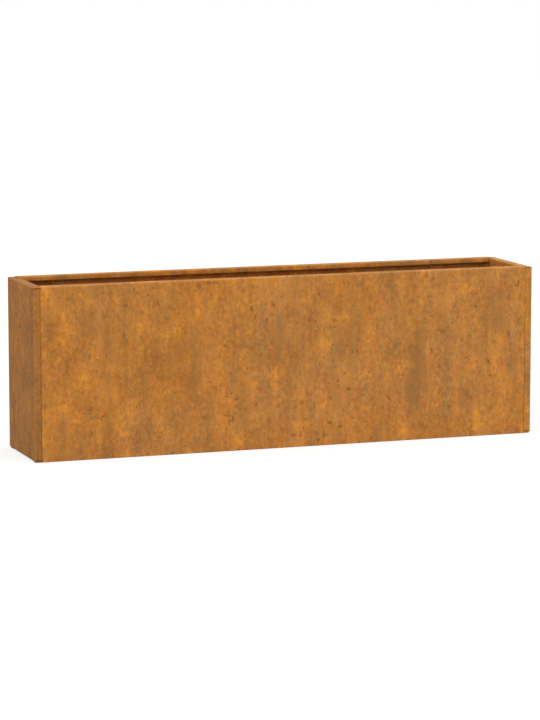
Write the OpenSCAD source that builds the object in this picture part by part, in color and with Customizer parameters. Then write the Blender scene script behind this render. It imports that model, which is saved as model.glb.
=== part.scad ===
// Planter box of weathering steel: four folded panels bolted together inside the corners, with a
// drained floor held between their bottom flanges. X runs along the box, the front faces -Y, Z is up.

/* [Box] */
// Length from end face to end face
box_length = 1100; // [600:10:1500]
// Depth from front face to back face
box_depth = 200; // [160:5:500]
// Height from the base to the top of the long rims
box_height = 360; // [200:5:600]

/* [Sheet] */
// Thickness of the steel sheet
sheet = 1.5; // [1:0.1:2]
// Inside radius of every fold
bend_inner = 0.4; // [0.3:0.1:2]
// Gap between sheet edges that pass each other
edge_gap = 0.5; // [0.3:0.1:1]

/* [Rim] */
// Width of the top flange on the long panels
rim_width = 21; // [15:0.5:30]
// Drop of the lip on the long panels, from the top of the rim
rim_drop = 9.4; // [6:0.1:15]
// Drop of the lip on the end panels, from the top of their flange
end_lip_drop = 24; // [10:1:40]
// Room between the end panel's lip and the joint flange behind it
lip_gap = 3; // [0.5:0.1:5]

/* [Corner joint] */
// How far the end panels wrap round the corner onto the long faces
corner_return = 15; // [14:0.5:25]
// Depth of the two flanges that are bolted together in each corner
joint_flange = 25; // [20:0.5:35]
// Slit that frees the joint folds from the folds above and below them
corner_slit = 0.8; // [0.6:0.1:3]
// Bolts in each corner
corner_bolts = 3; // [2:1:5]
// Distance of the outer bolts from the ends of the joint flanges
bolt_end_distance = 50; // [35:1:70]

/* [Floor] */
// Width of the bottom flange on the long panels
base_flange = 20; // [16:0.5:30]
// How far the floor and the long bottom flanges stay back from the end faces
base_setback = 2; // [2:0.5:10]
// Floor studs along each long panel
floor_studs = 3; // [2:1:6]
// Distance of the outer studs from the ends of the floor
stud_end_distance = 170; // [40:5:200]
// Diameter of the drain holes
drain_diameter = 12; // [6:0.5:20]
// Drain holes along the floor
drain_columns = 6; // [2:1:8]
// Distance of the outer drain holes from the ends of the floor
drain_end_distance = 100; // [40:5:150]
// Distance between the two rows of drain holes
drain_row_spacing = 70; // [30:1:100]

/* [Fasteners] */
// Thread diameter of the bolts and studs
thread_diameter = 6; // [5:0.1:8]
// Extra diameter of the bolt holes in the sheet
hole_clearance = 0.6; // [0.4:0.1:1]
// Extra diameter of the nut and washer bores
bore_play = 0.3; // [0.2:0.1:0.5]
// Thread left standing past the nut
thread_end = 2.4; // [1:0.1:3]
// Diameter of the domed bolt head
head_diameter = 10.5; // [9:0.1:13]
// Height of the domed bolt head
head_height = 3.3; // [2.5:0.1:4.5]
// Width across flats of the hexagon socket
socket_width = 4; // [3:0.1:5]
// Depth of the hexagon socket
socket_depth = 2; // [1:0.1:2.2]
// Outer diameter of the washers
washer_diameter = 12; // [10:0.1:15]
// Thickness of the washers
washer_thickness = 1.6; // [1:0.1:2]
// Width across flats of the nuts
nut_width = 10; // [9.5:0.1:13]
// Height of the nuts
nut_height = 5; // [4:0.1:6]
// Diameter of the weld collar at the foot of a stud
collar_diameter = 7.5; // [6.5:0.1:9]
// Height of the weld collar, less than the sheet
collar_height = 0.8; // [0.4:0.1:0.9]

/* [Hidden] */
$fn = 64;
hexagon = 6;
rust = [0.70, 0.46, 0.22];
rust_floor = [0.60, 0.38, 0.19];
zinc = [0.72, 0.73, 0.74];

half_length = box_length / 2;
half_depth = box_depth / 2;
bend_outer = bend_inner + sheet;

// A cut this long, centred on a joint of two sheets, passes through both
cut_length = 4 * sheet;

// The floor lies on the long bottom flanges, and the end panels stand on the floor and reach up to
// the underside of the long rims.
end_base = 2 * sheet;
end_top = box_height - sheet;

// Plane where the two joint flanges of a corner meet, and the height that they share
joint_x = half_length - corner_return;
joint_low = end_base + bend_outer + corner_slit;
joint_high = end_top - bend_outer - corner_slit;

// Where the long folds end, where the floor ends, the inner edge of the end flanges, and what clears it
fold_x = joint_x - bend_outer;
floor_x = half_length - base_setback;
end_flange_x = joint_x - 2 * sheet - lip_gap;
clear_x = end_flange_x - edge_gap;

// Where the folds of the end panels end, what clears the long panels' folds, and the end lip's reach
fold_y = half_depth - bend_outer;
clear_y = fold_y - edge_gap;
end_lip_y = half_depth - rim_width - edge_gap;

// Fasteners stand in the middle of the flat part of their flange.
bolt_y = half_depth - (bend_outer + joint_flange) / 2;
stud_y = half_depth - (bend_outer + base_flange) / 2;
bolt_heights = spread(joint_low + bolt_end_distance, joint_high - bolt_end_distance, corner_bolts);
stud_places = spread(stud_end_distance - floor_x, floor_x - stud_end_distance, floor_studs);
drain_places = spread(drain_end_distance - floor_x, floor_x - drain_end_distance, drain_columns);
bolt_length = washer_thickness + 2 * sheet + nut_height + thread_end;
stud_length = sheet + washer_thickness + nut_height + thread_end;

// Evenly spaced values from first to last, both included
function spread(first, last, count) =
    [for (i = [0 : count - 1]) first + (last - first) * i / (count - 1)];

// Section of a folded sheet. The outline is its outer face: points at right angles, turning left.
module folded_section(outline) {
    last = len(outline) - 2;
    for (i = [0 : last]) {
        run = outline[i + 1] - outline[i];
        along = run / norm(run);
        inward = [-along.y, along.x];
        from = outline[i] + (i > 0 ? bend_outer : 0) * along;
        to = outline[i + 1] - (i < last ? bend_outer : 0) * along;
        polygon([from, to, to + sheet * inward, from + sheet * inward]);
        if (i < last)
            translate(to + bend_outer * inward)
                rotate(atan2(along.y, along.x))
                    fold_arc();
    }
}

// Quarter ring of one fold, for a sheet that arrives along +X and leaves along +Y
module fold_arc() {
    intersection() {
        difference() {
            circle(bend_outer);
            circle(bend_inner);
        }
        translate([0, -bend_outer])
            square(bend_outer);
    }
}

// A section drawn in Y and Z, carried along X
module along_x(from, to) {
    translate([from, 0, 0])
        rotate([90, 0, 90])
            linear_extrude(to - from)
                children();
}

// A section drawn in X and Z, carried along Y
module along_y(from, to) {
    translate([0, to, 0])
        rotate([90, 0, 0])
            linear_extrude(to - from)
                children();
}

// A section drawn in X and Y, carried up Z
module upright(from, to) {
    translate([0, 0, from])
        linear_extrude(to - from)
            children();
}

// What is left of an upright section above and below the slits at the ends of the joint folds
module past_slits() {
    difference() {
        children();
        translate([-box_length, joint_low - corner_slit])
            square([2 * box_length, joint_high - joint_low + 2 * corner_slit]);
    }
}

// Copies a shape to every bolt of one corner, with X pointing from the nut into the box
module at_corner_bolts() {
    for (z = bolt_heights)
        translate([-joint_x, -bolt_y, z])
            children();
}

// Copies a shape to every stud of one long panel, standing on the bottom flange
module at_floor_studs() {
    for (x = stud_places)
        translate([x, -stud_y, sheet])
            children();
}

// Turns a front left corner into any of the four
module corner(right, back) {
    mirror([right ? 1 : 0, 0, 0])
        mirror([0, back ? 1 : 0, 0])
            children();
}

// Front panel: bottom flange, face, rim and lip in one sheet, with a joint flange at each end
module long_panel() {
    face = [[-half_depth, box_height], [-half_depth, 0], [-half_depth + base_flange, 0]];
    rim_edge = [-half_depth + rim_width, box_height];
    lip_edge = [-half_depth + rim_width, box_height - rim_drop];
    difference() {
        union() {
            along_x(-clear_x, clear_x)
                folded_section(concat([lip_edge, rim_edge], face));
            for (side = [0, 1])
                mirror([side, 0, 0]) {
                    along_x(clear_x, fold_x)
                        folded_section(concat([rim_edge], face));
                    along_x(fold_x, joint_x - edge_gap / 2)
                        past_slits()
                            folded_section(concat([rim_edge], face));
                    base_runner_end();
                }
            upright(joint_low, joint_high)
                folded_section([
                    [-joint_x, -half_depth + joint_flange],
                    [-joint_x, -half_depth],
                    [joint_x, -half_depth],
                    [joint_x, -half_depth + joint_flange]
                ]);
        }
        for (side = [0, 1])
            mirror([side, 0, 0])
                joint_holes();
    }
}

// End of the bottom flange, which runs on under the floor's end and the end panel
module base_runner_end() {
    translate([fold_x, -fold_y, 0])
        cube([floor_x - fold_x, fold_y - half_depth + base_flange, sheet]);
}

// Clearance holes for the bolts of the two corners at one end
module joint_holes() {
    for (back = [0, 1])
        mirror([0, back, 0])
            at_corner_bolts()
                rotate([0, 90, 0])
                    cylinder(d = thread_diameter + hole_clearance, h = cut_length, center = true);
}

// Left end panel: top and bottom flanges, a lip, and returns that wrap the corners and turn in
module end_panel() {
    face = [[-half_length, end_top], [-half_length, end_base], [-end_flange_x, end_base]];
    flange_edge = [-end_flange_x, end_top];
    lip_edge = [-end_flange_x, end_top - end_lip_drop];
    difference() {
        union() {
            along_y(-end_lip_y, end_lip_y)
                folded_section(concat([lip_edge, flange_edge], face));
            for (side = [0, 1])
                mirror([0, side, 0])
                    along_y(end_lip_y, clear_y)
                        folded_section(concat([flange_edge], face));
            upright(joint_low, joint_high)
                folded_section([
                    [-joint_x, half_depth - joint_flange],
                    [-joint_x, half_depth],
                    [-half_length, half_depth],
                    [-half_length, -half_depth],
                    [-joint_x, -half_depth],
                    [-joint_x, -half_depth + joint_flange]
                ]);
            along_y(-half_depth, half_depth)
                flange_corners(concat([flange_edge], face));
        }
        joint_holes();
    }
}

// The parts of the end flanges outside the seam, which reach the corners over and under the returns
module flange_corners(outline) {
    intersection() {
        past_slits()
            folded_section(outline);
        translate([-half_length, end_base])
            square([corner_return - edge_gap / 2, end_top - end_base]);
    }
}

// Floor: a flat sheet held between the bottom flanges, with drain holes and holes over the studs
module floor_sheet() {
    difference() {
        translate([-floor_x, -clear_y, sheet])
            cube([2 * floor_x, 2 * clear_y, sheet]);
        for (x = drain_places)
            for (side = [-1, 1])
                translate([x, side * drain_row_spacing / 2, sheet])
                    cylinder(d = drain_diameter, h = cut_length, center = true);
        for (back = [0, 1])
            mirror([0, back, 0])
                at_floor_studs()
                    cylinder(d = collar_diameter + hole_clearance, h = cut_length, center = true);
    }
}

// Domed bolt with a hexagon socket, head inside the box and thread through the nut
module corner_bolt() {
    head_x = sheet + washer_thickness;
    dome_radius = (pow(head_diameter / 2, 2) + pow(head_height, 2)) / (2 * head_height);
    translate([head_x, 0, 0])
        rotate([0, 90, 0])
            difference() {
                union() {
                    intersection() {
                        cylinder(d = head_diameter, h = head_height);
                        translate([0, 0, head_height - dome_radius])
                            sphere(dome_radius);
                    }
                    translate([0, 0, -bolt_length])
                        cylinder(d = thread_diameter, h = bolt_length);
                }
                translate([0, 0, head_height - socket_depth])
                    cylinder(d = socket_width / cos(180 / hexagon), h = 2 * socket_depth, $fn = hexagon);
            }
}

// Flat washer standing on its seat
module washer() {
    difference() {
        cylinder(d = washer_diameter, h = washer_thickness);
        cylinder(d = thread_diameter + bore_play, h = 3 * washer_thickness, center = true);
    }
}

// Hexagon nut standing on its seat
module nut() {
    difference() {
        cylinder(d = nut_width / cos(180 / hexagon), h = nut_height, $fn = hexagon);
        cylinder(d = thread_diameter + bore_play, h = 3 * nut_height, center = true);
    }
}

// Welded stud with its collar, standing on the bottom flange
module floor_stud() {
    cylinder(d = thread_diameter, h = stud_length);
    cylinder(d = collar_diameter, h = collar_height);
}

module corner_bolt_set() {
    color(zinc) at_corner_bolts() corner_bolt();
}

module corner_washer_set() {
    color(zinc) at_corner_bolts() translate([sheet, 0, 0]) rotate([0, 90, 0]) washer();
}

module corner_nut_set() {
    color(zinc) at_corner_bolts() translate([-sheet, 0, 0]) rotate([0, -90, 0]) nut();
}

module floor_stud_set() {
    color(zinc) at_floor_studs() floor_stud();
}

module floor_washer_set() {
    color(zinc) at_floor_studs() translate([0, 0, sheet]) washer();
}

module floor_nut_set() {
    color(zinc) at_floor_studs() translate([0, 0, sheet + washer_thickness]) nut();
}

module front_panel() {
    color(rust) long_panel();
}

module back_panel() {
    color(rust) rotate([0, 0, 180]) long_panel();
}

module left_end_panel() {
    color(rust) end_panel();
}

module right_end_panel() {
    color(rust) rotate([0, 0, 180]) end_panel();
}

module floor_panel() {
    color(rust_floor) floor_sheet();
}

front_panel();
back_panel();
left_end_panel();
right_end_panel();
floor_panel();
corner(false, false) corner_bolt_set();  // front_left_bolts
corner(true, false) corner_bolt_set();  // front_right_bolts
corner(false, true) corner_bolt_set();  // back_left_bolts
corner(true, true) corner_bolt_set();  // back_right_bolts
corner(false, false) corner_washer_set();  // front_left_washers
corner(true, false) corner_washer_set();  // front_right_washers
corner(false, true) corner_washer_set();  // back_left_washers
corner(true, true) corner_washer_set();  // back_right_washers
corner(false, false) corner_nut_set();  // front_left_nuts
corner(true, false) corner_nut_set();  // front_right_nuts
corner(false, true) corner_nut_set();  // back_left_nuts
corner(true, true) corner_nut_set();  // back_right_nuts
corner(false, false) floor_stud_set();  // front_floor_studs
corner(false, true) floor_stud_set();  // back_floor_studs
corner(false, false) floor_washer_set();  // front_floor_washers
corner(false, true) floor_washer_set();  // back_floor_washers
corner(false, false) floor_nut_set();  // front_floor_nuts
corner(false, true) floor_nut_set();  // back_floor_nuts
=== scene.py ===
import math

import bmesh
import bpy
from mathutils import Matrix, Vector


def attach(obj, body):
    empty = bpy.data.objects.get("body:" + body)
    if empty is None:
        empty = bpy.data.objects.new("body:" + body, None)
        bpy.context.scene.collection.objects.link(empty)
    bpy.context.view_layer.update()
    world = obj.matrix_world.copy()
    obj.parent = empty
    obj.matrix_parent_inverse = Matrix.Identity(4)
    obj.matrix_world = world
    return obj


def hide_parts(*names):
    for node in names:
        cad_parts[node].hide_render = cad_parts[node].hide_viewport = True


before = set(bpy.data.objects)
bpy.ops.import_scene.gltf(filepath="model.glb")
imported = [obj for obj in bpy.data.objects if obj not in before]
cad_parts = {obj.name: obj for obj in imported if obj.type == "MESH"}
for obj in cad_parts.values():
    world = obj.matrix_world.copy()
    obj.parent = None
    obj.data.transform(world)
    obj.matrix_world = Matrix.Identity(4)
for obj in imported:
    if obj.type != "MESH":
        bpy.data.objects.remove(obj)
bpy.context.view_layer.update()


# Front and back panels
# Each is one blank of 1.5 mm weathering steel, folded on a press brake into bottom flange, face, rim
# and lip. A joint flange at either end is turned in and punched for the corner bolts.
MM = 0.001
sheet, fold_radius = 1.5, 1.9
slit, edge_gap = 0.8, 0.5
half_length, half_depth, height = 550, 100, 360
end_base, end_top = 2 * sheet, height - sheet
corner_return, joint_depth, lip_gap = 15, 25, 3
joint_x = half_length - corner_return
joint_low, joint_high = end_base + fold_radius + slit, end_top - fold_radius - slit
long_fold_x = joint_x - fold_radius
fold_y = half_depth - fold_radius
rim_width, rim_drop = 21, 9.4
rim_lip_x = joint_x - 2 * sheet - lip_gap - edge_gap
base_width, base_setback = 20, 2
base_x = half_length - base_setback
bolt_hole_radius, bolt_end_distance = 3.3, 50
bolt_y = half_depth - (fold_radius + joint_depth) / 2
bolt_heights = (
    joint_low + bolt_end_distance,
    (joint_low + joint_high) / 2,
    joint_high - bolt_end_distance,
)


class Blank:
    """A flat sheet in millimetres, seen from its outer face, that is scored, folded and punched."""

    fold_steps = 6
    hole_sides = 32
    edge_wear = 0.2
    edge_angle = 50

    def __init__(self, *corners):
        self.bm = bmesh.new()
        self.bm.faces.new([self.bm.verts.new(corner) for corner in corners])

    def score(self, point, across):
        """Divides the sheet along a plane, so that a fold or a cut can begin there."""
        everything = [*self.bm.verts, *self.bm.edges, *self.bm.faces]
        bmesh.ops.bisect_plane(self.bm, geom=everything, plane_co=point, plane_no=across)

    @staticmethod
    def inside(element, low, high, slack=0.01):
        return all(
            a - slack <= p <= b + slack
            for vert in element.verts
            for a, p, b in zip(low, vert.co, high)
        )

    def edges(self, low, high):
        """The edges that lie inside a box."""
        return [edge for edge in self.bm.edges if self.inside(edge, low, high)]

    def faces(self, low, high):
        """The faces that lie inside a box."""
        return [face for face in self.bm.faces if self.inside(face, low, high)]

    def cut(self, low, high):
        """Takes out what lies inside a box."""
        bmesh.ops.delete(self.bm, geom=self.faces(low, high), context="FACES")

    def fold(self, edges, centre, axis, degrees):
        """Rolls the sheet on from some edges round a fold line, and returns the edges it ends at."""
        flat = set(self.bm.faces)
        rolled = bmesh.ops.spin(
            self.bm,
            geom=[*edges, *{v for e in edges for v in e.verts}],
            cent=centre,
            axis=axis,
            angle=math.radians(degrees),
            steps=self.fold_steps,
        )
        for face in set(self.bm.faces) - flat:
            face.smooth = True
        return [g for g in rolled["geom_last"] if isinstance(g, bmesh.types.BMEdge)]

    def extend(self, edges, by):
        """Carries the sheet on flat from some edges, and returns the edges it ends at."""
        grown = bmesh.ops.extrude_edge_only(self.bm, edges=edges)["geom"]
        moved = [g for g in grown if isinstance(g, bmesh.types.BMVert)]
        bmesh.ops.translate(self.bm, vec=by, verts=moved)
        moved = set(moved)
        return [e for e in self.bm.edges if moved.issuperset(e.verts)]

    def punch(self, low, high, holes, turn):
        """Makes round holes, centre and radius, in the flat face in a box; turn lays a circle on it."""
        (face,) = self.faces(low, high)
        outline, normal = list(face.edges), face.normal.copy()
        bmesh.ops.delete(self.bm, geom=[face], context="FACES_ONLY")
        for centre, radius in holes:
            ring = bmesh.ops.create_circle(
                self.bm,
                segments=self.hole_sides,
                radius=radius,
                matrix=Matrix.Translation(centre) @ turn,
            )
            outline += {e for v in ring["verts"] for e in v.link_edges}
        bmesh.ops.triangle_fill(self.bm, use_beauty=True, edges=outline, normal=normal)

    def finish(self, name, face_point, out, turn=0):
        """Turns the sheet into place and makes it a piece; out is how its face at a point looks."""
        bm = self.bm
        bmesh.ops.remove_doubles(bm, verts=bm.verts, dist=0.001)
        bmesh.ops.recalc_face_normals(bm, faces=bm.faces)
        nearest = min(
            bm.faces, key=lambda f: (f.calc_center_median() - Vector(face_point)).length
        )
        if nearest.normal.dot(Vector(out)) < 0:
            bmesh.ops.reverse_faces(bm, faces=bm.faces)
        bmesh.ops.rotate(bm, verts=bm.verts, cent=(0, 0, 0), matrix=Matrix.Rotation(turn, 3, "Z"))
        piece = as_piece(name, bm)
        thick = piece.modifiers.new("thickness", "SOLIDIFY")
        thick.thickness = sheet * MM
        thick.offset = -1
        thick.use_even_offset = True
        worn = piece.modifiers.new("worn edges", "BEVEL")
        worn.width = self.edge_wear * MM
        worn.segments = 2
        worn.limit_method = "ANGLE"
        worn.angle_limit = math.radians(self.edge_angle)
        return piece


def as_piece(name, bm):
    """Makes an object of a shape in millimetres."""
    bmesh.ops.scale(bm, verts=bm.verts, vec=(MM, MM, MM))
    mesh = bpy.data.meshes.new(name)
    bm.to_mesh(mesh)
    bm.free()
    piece = bpy.data.objects.new(name, mesh)
    bpy.context.scene.collection.objects.link(piece)
    return piece


def long_panel(name, turn):
    """Folds the front panel, and turns it into place."""
    low, high = fold_radius, height - fold_radius
    seam_x = joint_x - edge_gap / 2
    blank = Blank(
        (-seam_x, -half_depth, low),
        (seam_x, -half_depth, low),
        (seam_x, -half_depth, high),
        (-seam_x, -half_depth, high),
    )
    for z in (joint_low - slit, joint_low, joint_high, joint_high + slit):
        blank.score((0, 0, z), (0, 0, 1))
    for x in (-long_fold_x, -rim_lip_x, rim_lip_x, long_fold_x):
        blank.score((x, 0, 0), (1, 0, 0))
    for outer in ((-seam_x, -long_fold_x), (long_fold_x, seam_x)):
        blank.cut(
            (outer[0], -half_depth, joint_low - slit), (outer[1], -half_depth, joint_high + slit)
        )

    face = (-seam_x, -half_depth, high), (seam_x, -half_depth, high)
    rim = blank.fold(blank.edges(*face), (0, -fold_y, high), (1, 0, 0), -90)
    blank.extend(rim, (0, rim_width - 2 * fold_radius, 0))
    rim_y = -half_depth + rim_width - fold_radius
    lip_edges = blank.edges((-rim_lip_x, rim_y, height), (rim_lip_x, rim_y, height))
    for outer in ((-seam_x, -rim_lip_x), (rim_lip_x, seam_x)):
        ends = blank.edges((outer[0], rim_y, height), (outer[1], rim_y, height))
        blank.extend(ends, (0, fold_radius, 0))
    lip = blank.fold(lip_edges, (0, rim_y, high), (1, 0, 0), -90)
    blank.extend(lip, (0, 0, fold_radius - rim_drop))

    face = (-seam_x, -half_depth, low), (seam_x, -half_depth, low)
    base = blank.fold(blank.edges(*face), (0, -fold_y, low), (1, 0, 0), 90)
    blank.extend(base, (0, base_width - fold_radius, 0))

    for side in (-1, 1):
        x = side * seam_x
        runner = blank.edges((x, -fold_y, 0), (x, base_width - half_depth, 0))
        blank.extend(runner, (side * (base_x - seam_x), 0, 0))
        x = side * long_fold_x
        seam = blank.edges((x, -half_depth, joint_low), (x, -half_depth, joint_high))
        joint = blank.fold(seam, (x, -fold_y, 0), (0, 0, 1), side * 90)
        blank.extend(joint, (0, joint_depth - fold_radius, 0))
        x = side * joint_x
        blank.punch(
            (x, -fold_y, joint_low),
            (x, joint_depth - half_depth, joint_high),
            [((x, -bolt_y, z), bolt_hole_radius) for z in bolt_heights],
            Matrix.Rotation(math.radians(90), 4, "Y"),
        )
    return blank.finish(name, (0, -half_depth, height / 2), (0, -1, 0), turn)


class Nodes:
    """The nodes of one finish, or of the studio's surroundings."""

    def __init__(self, owner):
        owner.use_nodes = True
        self.owner, self.tree = owner, owner.node_tree

    def node(self, kind, settings, inputs, output=0):
        """Adds a node: its settings first, then the values or links of its sockets."""
        made = self.tree.nodes.new("ShaderNode" + kind)
        for key, value in settings.items():
            setattr(made, key, value)
        for key, value in inputs.items():
            self.feed(made.inputs[key], value)
        return Value(self, made.outputs[output])

    def feed(self, socket, value):
        if isinstance(value, Value):
            self.tree.links.new(value.socket, socket)
        else:
            socket.default_value = value

    def mix(self, low, high, share):
        return self.node("Mix", {"data_type": "RGBA"}, {0: share, 6: low, 7: high}, output=2)

    def noise(self, at, scale, detail=2, rough=0.5):
        inputs = {"Vector": at, "Scale": scale, "Detail": detail, "Roughness": rough}
        return self.node("TexNoise", {}, inputs)

    def show(self, **inputs):
        """Feeds the sockets of the main shader, and returns the finish."""
        for socket, value in inputs.items():
            self.feed(self.tree.nodes["Principled BSDF"].inputs[socket.replace("_", " ")], value)
        return self.owner


class Value:
    """What comes out of a node. On numbers, Python's operators add Math nodes."""

    def __init__(self, nodes, socket):
        self.nodes, self.socket = nodes, socket

    def math(self, operation, first, second):
        return self.nodes.node("Math", {"operation": operation}, {0: first, 1: second})

    def __add__(self, other):
        return self.math("ADD", self, other)

    def __radd__(self, other):
        return self.math("ADD", other, self)

    def __sub__(self, other):
        return self.math("SUBTRACT", self, other)

    def __rsub__(self, other):
        return self.math("SUBTRACT", other, self)

    def __mul__(self, other):
        return self.math("MULTIPLY", self, other)

    def __rmul__(self, other):
        return self.math("MULTIPLY", other, self)

    def size(self):
        return self.math("ABSOLUTE", self, 0)

    def rounded_down(self):
        return self.math("FLOOR", self, 0)

    def between(self, low, high):
        """0 below low, 1 above high, smooth in between."""
        settings = {"interpolation_type": "SMOOTHSTEP"}
        return self.nodes.node("MapRange", settings, {0: self, 1: low, 2: high})


def srgb(red, green, blue, shade=1):
    """A colour as it is seen on a screen, 0 to 255, as the linear colour of a shader."""
    linear = (((c / 255 + 0.055) / 1.055) ** 2.4 for c in (red, green, blue))
    return (*(shade * c for c in linear), 1)


fresh_dark, fresh_light = (151, 94, 35), (215, 135, 43)
leached_dark, leached_light = (140, 101, 56), (200, 139, 74)
ruddy_dark, ruddy_light = (152, 88, 40), (210, 126, 62)
amber, pale_amber = (226, 148, 38), (216, 150, 72)
drip_brown, speck_brown = (126, 96, 56), (112, 66, 26)
# The rubbed tan lightens the worn fold edges and is partly a painted highlight where the folds catch the
# light.
fleck_tan, rubbed_highlight_tan = (220, 152, 88), (198, 138, 84)
patch_squeeze, run_squeeze = 0.75, 0.22
crust_depth = 0.6
# How far in from the outer folds, in mm, the rubbed wear and its painted highlight reach.
rub_highlight_reach, rub_highlight_full = 4, 1.5
bleed_reach, bleed_full = 16, 2


def near_folds(nodes, place):
    """1 on the outer folds of the box, and 0 everywhere else."""
    x, y, z = (nodes.node("SeparateXYZ", {}, {0: place}, output=axis) for axis in "XYZ")
    sizes = (x.size(), half_length), (y.size(), half_depth), (z, height)
    x, y, z = (at.between((end - rub_highlight_reach) * MM, (end - rub_highlight_full) * MM) for at, end in sizes)
    return x * y + x * z + y * z


def rust(name, start, shade=1, stain=None):
    """Patina of one sheet: start moves its pattern, shade is its lightness, stain adds to its colour."""
    steel = Nodes(bpy.data.materials.new(name))
    place = steel.node("TexCoord", {}, {}, output="Object")
    at, run = (
        steel.node("Mapping", {}, {"Vector": place, "Location": start, "Scale": (1, 1, squeeze)})
        for squeeze in (patch_squeeze, run_squeeze)
    )

    mottle = steel.noise(at, 24, detail=5, rough=0.75)
    streak = steel.noise(run, 30, detail=3, rough=0.7)
    flake = steel.noise(at, 120, detail=2, rough=0.65)
    grit = steel.noise(at, 900, detail=2, rough=0.7).between(0.35, 0.65)
    broad = steel.noise(at, 11, detail=1)
    tone = 0.12 * broad + 0.34 * mottle + 0.22 * streak + 0.3 * flake + 0.02 * grit
    tone = tone.between(0.34, 0.665)

    drift = steel.noise(at, 4, detail=1)
    washed = steel.noise(run, 22, detail=3, rough=0.8)
    cloud = steel.noise(at, 100, detail=3, rough=0.75)
    leached = (0.25 * drift + 0.3 * washed + 0.45 * cloud).between(0.36, 0.64)
    fresh = steel.mix(srgb(*fresh_dark, shade), srgb(*fresh_light, shade), tone)
    grey = steel.mix(srgb(*leached_dark, shade), srgb(*leached_light, shade), tone)
    colour = steel.mix(fresh, grey, leached)
    ruddy = steel.mix(srgb(*ruddy_dark, shade), srgb(*ruddy_light, shade), tone)
    flush = steel.noise(at, 55, detail=3, rough=0.7).between(0.5, 0.66)
    colour = steel.mix(colour, ruddy, 0.45 * flush)

    bloom = (steel.noise(at, 24, detail=2) + 0.4 * flake).between(0.8, 1)
    colour = steel.mix(colour, srgb(*amber, shade), 0.7 * bloom)
    drips = (steel.noise(run, 18, detail=3, rough=0.6) + 0.4 * flake).between(0.74, 0.92)
    colour = steel.mix(colour, srgb(*drip_brown, shade), 0.45 * drips)
    specks = steel.noise(at, 95, detail=2, rough=0.6) + 0.3 * flake + 0.2 * broad
    specks = specks.between(0.87, 0.99)
    colour = steel.mix(colour, srgb(*speck_brown, shade), 0.65 * specks)
    veins = 1 - (steel.noise(at, 65, detail=2, rough=0.6) - 0.5).size().between(0, 0.035)
    veins = veins * steel.noise(at, 16, detail=1).between(0.45, 0.6)
    colour = steel.mix(colour, srgb(*pale_amber, shade), 0.2 * veins)
    flecks = (steel.noise(at, 190, detail=1) + 0.3 * flake).between(0.78, 0.92)
    colour = steel.mix(colour, srgb(*fleck_tan, shade), 0.4 * flecks)
    # Rubbed wear on the outer folds, lighter and smoother, and partly a painted highlight where the
    # folds would catch the light.
    rubbed_and_highlit = near_folds(steel, place) * cloud.between(0.42, 0.55)
    colour = steel.mix(colour, srgb(*rubbed_highlight_tan, shade), 0.4 * rubbed_and_highlit)
    if stain:
        colour = stain(steel, place, colour)

    crust = 0.08 * grit + 0.5 * flake - 0.2 * specks
    bump = steel.node(
        "Bump", {}, {"Strength": 0.4, "Distance": crust_depth * MM, "Height": crust}
    )
    return steel.show(
        Specular_IOR_Level=0.2,
        Base_Color=colour,
        Roughness=0.75 + 0.15 * grit - 0.25 * rubbed_and_highlit,
        Normal=bump,
    )


def bleeding(steel, place, colour):
    """Amber rust that has bled from the upright seams."""
    along = steel.node("SeparateXYZ", {}, {0: place}, output="X").size()
    near = along.between((joint_x - bleed_reach) * MM, (joint_x - bleed_full) * MM)
    ragged = steel.noise(place, 32, detail=4, rough=0.7).between(0.5, 0.66)
    return steel.mix(colour, srgb(*amber), 0.6 * near * ragged)


for side, turn, start, shade in (
    ("front", 0, (7.3, 1.6, 5.2), 1),
    ("back", math.pi, (3.1, 1.7, 0.4), 1.05),
):
    panel = long_panel(f"{side}_wall", turn)
    panel.data.materials.append(rust(f"rusted {side}", start, shade, bleeding))
    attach(panel, "root")
    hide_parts(f"{side}_panel")


# Floor
# A flat sheet of the same steel, 1.5 mm thick, with two rows of punched drain holes and a hole over
# each welded stud. It lies on the long bottom flanges, and the end panels stand on its ends.
floor_y = fold_y - edge_gap
drain_radius, drain_y = 6, 35
drain_columns, drain_end_distance = 6, 100
drain_pitch = 2 * (base_x - drain_end_distance) / (drain_columns - 1)
stud_hole_radius, stud_end_distance = 4.05, 170
stud_y = half_depth - (fold_radius + base_width) / 2
stud_places = (stud_end_distance - base_x, 0, base_x - stud_end_distance)
silt_reach, silt_brown = 24, (92, 66, 42)

blank = Blank(
    (-base_x, -floor_y, end_base),
    (base_x, -floor_y, end_base),
    (base_x, floor_y, end_base),
    (-base_x, floor_y, end_base),
)
drains = [
    (((column - (drain_columns - 1) / 2) * drain_pitch, y, end_base), drain_radius)
    for column in range(drain_columns)
    for y in (-drain_y, drain_y)
]
stud_holes = [
    ((x, y, end_base), stud_hole_radius) for x in stud_places for y in (-stud_y, stud_y)
]
blank.punch(
    (-base_x, -floor_y, end_base),
    (base_x, floor_y, end_base),
    drains + stud_holes,
    Matrix.Identity(4),
)
floor_sheet = blank.finish("floor_sheet", (0, 0, end_base), (0, 0, 1))


def silt(steel, place, colour):
    """Dark rings of dried soil where water runs to the drain holes."""
    along = steel.node("SeparateXYZ", {}, {0: place}, output="X")
    across = steel.node("SeparateXYZ", {}, {0: place}, output="Y")
    pitch = drain_pitch * MM
    x = along - pitch * (along * (1 / pitch)).rounded_down() - pitch / 2
    y = across.size() - drain_y * MM
    near = 1 - (x * x + y * y).between((drain_radius * MM) ** 2, (silt_reach * MM) ** 2)
    ragged = steel.noise(place, 60, detail=4, rough=0.7).between(0.3, 0.6)
    return steel.mix(colour, srgb(*silt_brown), 0.6 * near * ragged)


floor_sheet.data.materials.append(rust("rusted floor", (1.3, 4.2, 2.1), 0.8, silt))
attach(floor_sheet, "root")
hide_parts("floor_panel")


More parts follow.
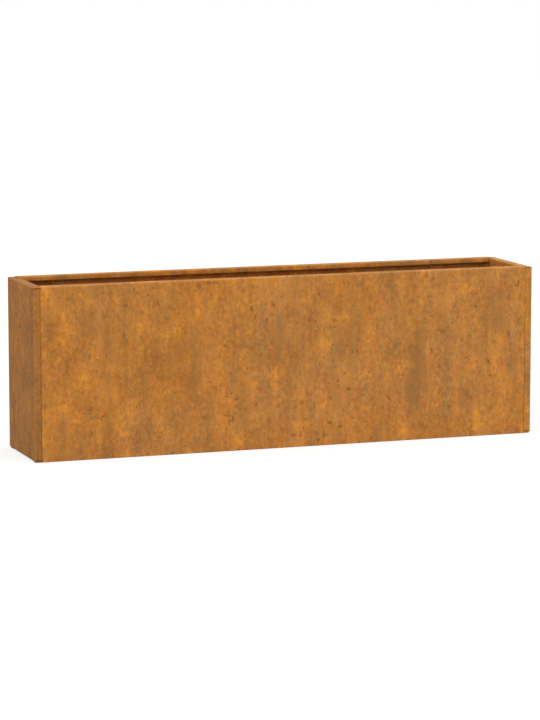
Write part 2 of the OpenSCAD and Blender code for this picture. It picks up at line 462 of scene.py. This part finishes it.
# End panels
# Each is one folded blank that wraps round the corners onto the long faces and turns in again as
# joint flanges. Slits at the top and bottom of the wrapped strips free them from the flanges.
end_flange_x = joint_x - 2 * sheet - lip_gap
end_flange_y = fold_y - edge_gap
end_lip_y, end_lip_drop = half_depth - rim_width - edge_gap, 24


def end_panel(name, turn):
    """Folds the left end panel, and turns it into place."""
    low, high = end_base + fold_radius, end_top - fold_radius
    x_fold = fold_radius - half_length
    x_corner = -joint_x - edge_gap / 2
    x_lip = -end_flange_x - fold_radius
    blank = Blank(
        (-half_length, fold_y, low),
        (-half_length, -fold_y, low),
        (-half_length, -fold_y, high),
        (-half_length, fold_y, high),
    )
    for z in (joint_low, joint_high):
        blank.score((0, 0, z), (0, 0, 1))
    for y in (-end_flange_y, -end_lip_y, end_lip_y, end_flange_y):
        blank.score((0, y, 0), (0, 1, 0))

    for fold_z, z, degrees in ((high, end_top, 90), (low, end_base, -90)):
        face = (-half_length, -fold_y, fold_z), (-half_length, fold_y, fold_z)
        flange = blank.fold(blank.edges(*face), (x_fold, 0, fold_z), (0, 1, 0), degrees)
        blank.extend(flange, (x_corner - x_fold, 0, 0))
        z_range = sorted((fold_z, z))
        inner = blank.edges((x_corner, -end_flange_y, z), (x_corner, end_flange_y, z))
        for side in (-1, 1):
            y = side * fold_y
            corner = blank.edges((-half_length, y, z_range[0]), (x_corner, y, z_range[1]))
            blank.extend(corner, (0, side * fold_radius, 0))
        blank.extend(inner, (x_lip - x_corner, 0, 0))
        if z == end_base:
            last = blank.edges((x_lip, -end_flange_y, z), (x_lip, end_flange_y, z))
            blank.extend(last, (fold_radius, 0, 0))
            continue
        lip_edges = blank.edges((x_lip, -end_lip_y, z), (x_lip, end_lip_y, z))
        for side in (-1, 1):
            outer = sorted((side * end_lip_y, side * end_flange_y))
            last = blank.edges((x_lip, outer[0], z), (x_lip, outer[1], z))
            blank.extend(last, (fold_radius, 0, 0))
        lip = blank.fold(lip_edges, (x_lip, 0, fold_z), (0, 1, 0), 90)
        blank.extend(lip, (0, 0, fold_radius - end_lip_drop))

    for side in (-1, 1):
        y = side * fold_y
        seam = blank.edges((-half_length, y, joint_low), (-half_length, y, joint_high))
        strip = blank.fold(seam, (x_fold, y, 0), (0, 0, 1), -90 * side)
        strip = blank.extend(strip, (corner_return - 2 * fold_radius, 0, 0))
        joint = blank.fold(strip, (-joint_x - fold_radius, y, 0), (0, 0, 1), -90 * side)
        blank.extend(joint, (0, side * (fold_radius - joint_depth), 0))
        depth = sorted((y, side * (half_depth - joint_depth)))
        blank.punch(
            (-joint_x, depth[0], joint_low),
            (-joint_x, depth[1], joint_high),
            [((-joint_x, side * bolt_y, z), bolt_hole_radius) for z in bolt_heights],
            Matrix.Rotation(math.radians(90), 4, "Y"),
        )
    return blank.finish(name, (-half_length, 0, height / 2), (-1, 0, 0), turn)


for side, turn, start, shade in (
    ("left", 0, (7.3, 2.2, 1.1), 0.76),
    ("right", math.pi, (5.9, 8.4, 3.3), 1.05),
):
    panel = end_panel(f"{side}_end", turn)
    panel.data.materials.append(rust(f"rusted {side} end", start, shade))
    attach(panel, "root")
    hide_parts(f"{side}_end_panel")


# Corner bolts
# Domed M6 bolts of zinc-plated steel with a hexagon socket, three in each corner. They are put in
# from inside the box and clamp the joint flange of a long panel to that of an end panel.
thread_radius, root_radius, thread_pitch = 3, 2.5, 1
thread_flank, thread_crest, thread_sink = 0.4, 0.1, 0.1
thread_steps, thread_inset, tip_chamfer = 24, 0.1, 0.5
washer_thick, nut_height, thread_end = 1.6, 5, 2.4
head_radius, head_height, dome_steps = 5.25, 3.3, 8
neck_length = 1
socket_width, socket_depth = 4, 2
socket_brim, socket_sink = 1.12, 0.1
hexagon_sides = 6
turn_steps = 48
sharp_angle = 35
zinc_dark, zinc_light, zinc_dull = (168, 170, 171), (206, 207, 205), (150, 150, 146)
zinc_rust = (142, 100, 62)
crystal_depth = 0.1
corners = {
    f"{face}_{end}": [
        Matrix.Translation((x * joint_x, y * bolt_y, z))
        @ Matrix.Rotation(math.radians(-90 * x), 4, "Y")
        for z in bolt_heights
    ]
    for face, y in (("front", -1), ("back", 1))
    for end, x in (("left", -1), ("right", 1))
}


def row(bm, *profile):
    """Joins points, given by radius and height, into a line beside Z, and returns them."""
    points = [bm.verts.new((radius, 0, z)) for radius, z in profile]
    for pair in zip(points, points[1:]):
        bm.edges.new(pair)
    return points


def turn_round(bm):
    """Turns a line of points beside Z right round it."""
    bmesh.ops.spin(
        bm,
        geom=[*bm.verts, *bm.edges],
        cent=(0, 0, 0),
        axis=(0, 0, 1),
        angle=math.tau,
        steps=turn_steps,
        use_merge=True,
    )


def wind_thread(bm, low, high):
    """Winds the ridge of a thread round Z."""
    root = root_radius - thread_sink
    ridge_height = 2 * thread_flank + thread_crest
    ridge = row(
        bm,
        (root, low),
        (thread_radius, low + thread_flank),
        (thread_radius, low + thread_flank + thread_crest),
        (root, low + ridge_height),
    )
    face = bm.faces.new(ridge)
    turns = int((high - low - ridge_height) / thread_pitch)
    bmesh.ops.spin(
        bm,
        geom=[face, *face.edges, *face.verts],
        cent=(0, 0, 0),
        axis=(0, 0, 1),
        dvec=(0, 0, thread_pitch / thread_steps),
        angle=math.tau * turns,
        steps=thread_steps * turns,
    )


def bolt(bm):
    """Turns the shank and the domed head, sinks the socket, and winds the thread."""
    seat, end = sheet + washer_thick, -sheet - nut_height - thread_end
    dome = (head_radius**2 + head_height**2) / (2 * head_height)
    middle = seat + head_height - dome
    hexagon = socket_width / math.sqrt(3)
    mouth = math.asin(socket_brim * hexagon / dome)
    *_, rim = row(
        bm,
        (0, end),
        (root_radius - tip_chamfer, end),
        (root_radius, end + tip_chamfer),
        (root_radius, seat),
        (head_radius, seat),
    )
    bmesh.ops.spin(
        bm,
        geom=[rim],
        cent=(0, 0, middle),
        axis=(0, 1, 0),
        angle=mouth - math.asin(head_radius / dome),
        steps=dome_steps,
    )
    turn_round(bm)

    brim = [e for e in bm.edges if e.is_boundary and e.verts[0].co.z > seat + head_height / 2]
    lip = Matrix.Translation((0, 0, middle + dome * math.cos(mouth) - socket_sink))
    bmesh.ops.create_circle(bm, segments=hexagon_sides, radius=hexagon, matrix=lip)
    straight = [e for e in bm.edges if e.is_wire]
    bmesh.ops.subdivide_edges(bm, edges=straight, cuts=turn_steps // hexagon_sides - 1)
    socket = [e for e in bm.edges if e.is_wire]
    bmesh.ops.bridge_loops(bm, edges=brim + socket)
    deep = bmesh.ops.extrude_edge_only(bm, edges=socket)["geom"]
    floor = [g for g in deep if isinstance(g, bmesh.types.BMVert)]
    bottom = seat + head_height - socket_depth
    bmesh.ops.translate(bm, vec=(0, 0, bottom - floor[0].co.z), verts=floor)
    bmesh.ops.contextual_create(bm, geom=[e for e in bm.edges if set(floor).issuperset(e.verts)])
    wind_thread(bm, end + thread_inset, seat - neck_length)


def fitted(name, shape, places):
    """Puts a copy of a shape in each place, and makes one piece of them."""
    bm = bmesh.new()
    shape(bm)
    bmesh.ops.remove_doubles(bm, verts=bm.verts, dist=0.0005)
    bmesh.ops.recalc_face_normals(bm, faces=bm.faces)
    for face in bm.faces:
        face.smooth = True
    first = [*bm.verts, *bm.edges, *bm.faces]
    copies = [bmesh.ops.duplicate(bm, geom=first)["geom"] for _ in places[1:]]
    for place, copy in zip(places, [first, *copies]):
        verts = [g for g in copy if isinstance(g, bmesh.types.BMVert)]
        bmesh.ops.transform(bm, matrix=place, verts=verts)
    piece = as_piece(name, bm)
    piece.data.set_sharp_from_angle(angle=math.radians(sharp_angle))
    return piece


plating = Nodes(bpy.data.materials.new("zinc plating"))
place = plating.node("TexCoord", {}, {}, output="Object")
crystals = plating.noise(place, 900, detail=2, rough=0.6)
dulled = plating.noise(place, 160, detail=4, rough=0.7)
colour = plating.mix(srgb(*zinc_dark), srgb(*zinc_light), crystals.between(0.35, 0.65))
colour = plating.mix(colour, srgb(*zinc_dull), 0.6 * dulled.between(0.45, 0.65))
bleed = plating.noise(place, 75, detail=5, rough=0.75).between(0.56, 0.72)
colour = plating.mix(colour, srgb(*zinc_rust), 0.45 * bleed)
bump = plating.node(
    "Bump",
    {},
    {"Strength": 0.2, "Distance": crystal_depth * MM, "Height": crystals + 0.5 * dulled},
)
zinc = plating.show(
    Base_Color=colour,
    Metallic=1 - 0.6 * bleed,
    Roughness=0.3 + 0.25 * dulled + 0.2 * bleed,
    Normal=bump,
)

for corner, places in corners.items():
    bolts = fitted(f"{corner}_bolt_set", bolt, places)
    bolts.data.materials.append(zinc)
    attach(bolts, "root")
    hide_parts(f"{corner}_bolts")


# Corner washers
# Flat punched washers of zinc-plated steel, one under the head of each corner bolt. They spread its
# pull over the thin joint flange.
washer_radius, bore_radius, washer_edge = 6, 3.15, 0.15


def washer(bm, foot=sheet):
    """Turns a flat ring with its outer edges taken off."""
    top, shoulder = foot + washer_thick, washer_radius - washer_edge
    ring = row(
        bm,
        (bore_radius, foot),
        (shoulder, foot),
        (washer_radius, foot + washer_edge),
        (washer_radius, top - washer_edge),
        (shoulder, top),
        (bore_radius, top),
    )
    bm.edges.new((ring[-1], ring[0]))
    turn_round(bm)


for corner, places in corners.items():
    washers = fitted(f"{corner}_washer_set", washer, places)
    washers.data.materials.append(zinc)
    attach(washers, "root")
    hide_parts(f"{corner}_washers")


# Corner nuts
# Hexagon nuts of zinc-plated steel, chamfered at both faces. They are welded to the end panel's joint
# flange, in the hollow of its return, where no tool reaches.
nut_width, nut_sink, nut_chamfer = 10, 0.4, 0.6
nut_face_radius, nut_corner_radius = 0.48 * nut_width, 0.59 * nut_width


def nut(bm, foot=-sheet - nut_height):
    """Turns a chamfered ring, and cuts its six flats."""
    top = foot + nut_height
    ring = row(
        bm,
        (bore_radius, foot + nut_sink),
        (bore_radius + nut_sink, foot),
        (nut_face_radius, foot),
        (nut_corner_radius, foot + nut_chamfer),
        (nut_corner_radius, top - nut_chamfer),
        (nut_face_radius, top),
        (bore_radius + nut_sink, top),
        (bore_radius, top - nut_sink),
    )
    bm.edges.new((ring[-1], ring[0]))
    turn_round(bm)
    for side in range(hexagon_sides):
        turn = Matrix.Rotation(math.radians(30 + 60 * side), 3, "Z")
        flat = turn @ Vector((nut_width / 2, 0, 0))
        whole = [*bm.verts, *bm.edges, *bm.faces]
        cut = bmesh.ops.bisect_plane(
            bm, geom=whole, plane_co=flat, plane_no=flat, clear_outer=True
        )["geom_cut"]
        rim = [g for g in cut if isinstance(g, bmesh.types.BMEdge)]
        bmesh.ops.edgeloop_fill(bm, edges=rim)


for corner, places in corners.items():
    nuts = fitted(f"{corner}_nut_set", nut, places)
    nuts.data.materials.append(zinc)
    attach(nuts, "root")
    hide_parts(f"{corner}_nuts")


# Floor studs
# M6 studs welded upright on the long bottom flanges, three on each, with the small collar that the
# weld leaves round the foot. They pass through the floor.
collar_radius, collar_height = 3.75, 0.8
collar_shoulder = (1, 0.5), (0.94, 0.85), (0.85, 1)
stud_rows = {
    face: [Matrix.Translation((x, y * stud_y, 0)) for x in stud_places]
    for face, y in (("front", -1), ("back", 1))
}


def stud(bm):
    """Turns the collar and the stud, and winds the thread."""
    top = end_base + washer_thick + nut_height + thread_end
    neck = sheet + collar_height
    collar = [
        (across * collar_radius, sheet + up * collar_height) for across, up in collar_shoulder
    ]
    row(
        bm,
        (0, sheet),
        (collar_radius, sheet),
        *collar,
        (root_radius, neck),
        (root_radius, top - tip_chamfer),
        (root_radius - tip_chamfer, top),
        (0, top),
    )
    turn_round(bm)
    wind_thread(bm, neck, top - thread_inset)


for face, places in stud_rows.items():
    studs = fitted(f"{face}_stud_set", stud, places)
    studs.data.materials.append(zinc)
    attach(studs, "root")
    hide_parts(f"{face}_floor_studs")


# Floor washers and nuts
# The same washers and nuts again, on the studs. They hold the floor down on the bottom flanges, so
# that it ties the two long walls together.
for face, places in stud_rows.items():
    washers = fitted(f"{face}_floor_washer_set", lambda bm: washer(bm, end_base), places)
    nuts = fitted(f"{face}_floor_nut_set", lambda bm: nut(bm, end_base + washer_thick), places)
    for piece, kind in ((washers, "washers"), (nuts, "nuts")):
        piece.data.materials.append(zinc)
        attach(piece, "root")
        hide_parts(f"{face}_floor_{kind}")


# Studio
# A pale floor that keeps the shadow and shows white to the camera, a pale sky, a wide soft lamp above,
# two low ones across opposite corners, and a camera where the photograph was taken from.
floor_reach, floor_drop = 12000, 0.2
white, lit_grey, shaded_grey = (1, 1, 1, 1), (0.6, 0.6, 0.6, 1), (0.3, 0.3, 0.3, 1)
floor_glow, sky_light = 0.72, 0.57
top_light_tilt, top_light_bearing = 25, 10
low_light_rise, low_light_bearing = 12, -42
camera_place = (-2.1966, -6.1260, 1.1224)
camera_dip, camera_bearing = 8.317, -19.663

scene = bpy.context.scene
scene.view_settings.view_transform = "Standard"

bm = bmesh.new()
bmesh.ops.create_grid(bm, x_segments=1, y_segments=1, size=floor_reach)
bmesh.ops.translate(bm, verts=bm.verts, vec=(0, 0, -floor_drop))
studio_floor = as_piece("studio_floor", bm)


def seen(nodes):
    """1 for the rays by which the camera sees a thing, straight or in a gloss, and 0 for its light."""
    kinds = ("Is Camera Ray", "Is Glossy Ray", "Is Transmission Ray")
    straight, gloss, through = (nodes.node("LightPath", {}, {}, output=k) for k in kinds)
    return (straight + gloss + through).between(0, 1)


# Under the box the floor has no glow of its own, and from below it is clear.
pale = Nodes(bpy.data.materials.new("pale floor"))
lit = pale.node("BsdfDiffuse", {}, {"Color": lit_grey})
shaded = pale.node("BsdfDiffuse", {}, {"Color": shaded_grey})
glow = pale.node("Emission", {}, {"Color": white, "Strength": floor_glow})
glowing = pale.node("AddShader", {}, {0: shaded, 1: glow})
place = pale.node("TexCoord", {}, {}, output="Object")
along = pale.node("SeparateXYZ", {}, {0: place}, output="X").size()
across = pale.node("SeparateXYZ", {}, {0: place}, output="Y").size()
clear_x = along.between((base_x - base_width) * MM, base_x * MM)
clear_y = across.between((half_depth - base_width) * MM, half_depth * MM)
covered = (1 - clear_x) * (1 - clear_y)
above = pale.node("MixShader", {}, {0: seen(pale) * (1 - covered), 1: lit, 2: glowing})
below = pale.node("NewGeometry", {}, {}, output="Backfacing")
clear = pale.node("BsdfTransparent", {}, {})
both = pale.node("MixShader", {}, {0: below, 1: above, 2: clear})
pale.feed(pale.tree.nodes["Material Output"].inputs["Surface"], both)
studio_floor.data.materials.append(pale.owner)

sky = Nodes(bpy.data.worlds.new("studio"))
scene.world = sky.owner
background = sky.tree.nodes["Background"]
background.inputs["Color"].default_value = white
sky.feed(background.inputs["Strength"], sky_light + (1 - sky_light) * seen(sky))

lamp = bpy.data.lights.new("top light", "SUN")
lamp.energy = 1.85
lamp.angle = math.radians(90)
top_light = bpy.data.objects.new("top light", lamp)
scene.collection.objects.link(top_light)
top_light.rotation_euler = (math.radians(top_light_tilt), 0, math.radians(top_light_bearing))

lamp = bpy.data.lights.new("low light", "SUN")
lamp.energy = 0.5
lamp.angle = math.radians(20)
for bearing in (low_light_bearing, low_light_bearing + 180):
    low_light = bpy.data.objects.new("low light", lamp)
    scene.collection.objects.link(low_light)
    low_light.rotation_euler = (math.radians(90 - low_light_rise), 0, math.radians(bearing))

lens = bpy.data.cameras.new("camera")
lens.lens, lens.sensor_width = 155.741, 36
lens.clip_end = 100
camera = bpy.data.objects.new("camera", lens)
scene.collection.objects.link(camera)
camera.location = camera_place
camera.rotation_euler = (math.radians(90 - camera_dip), 0, math.radians(camera_bearing))
scene.camera = camera
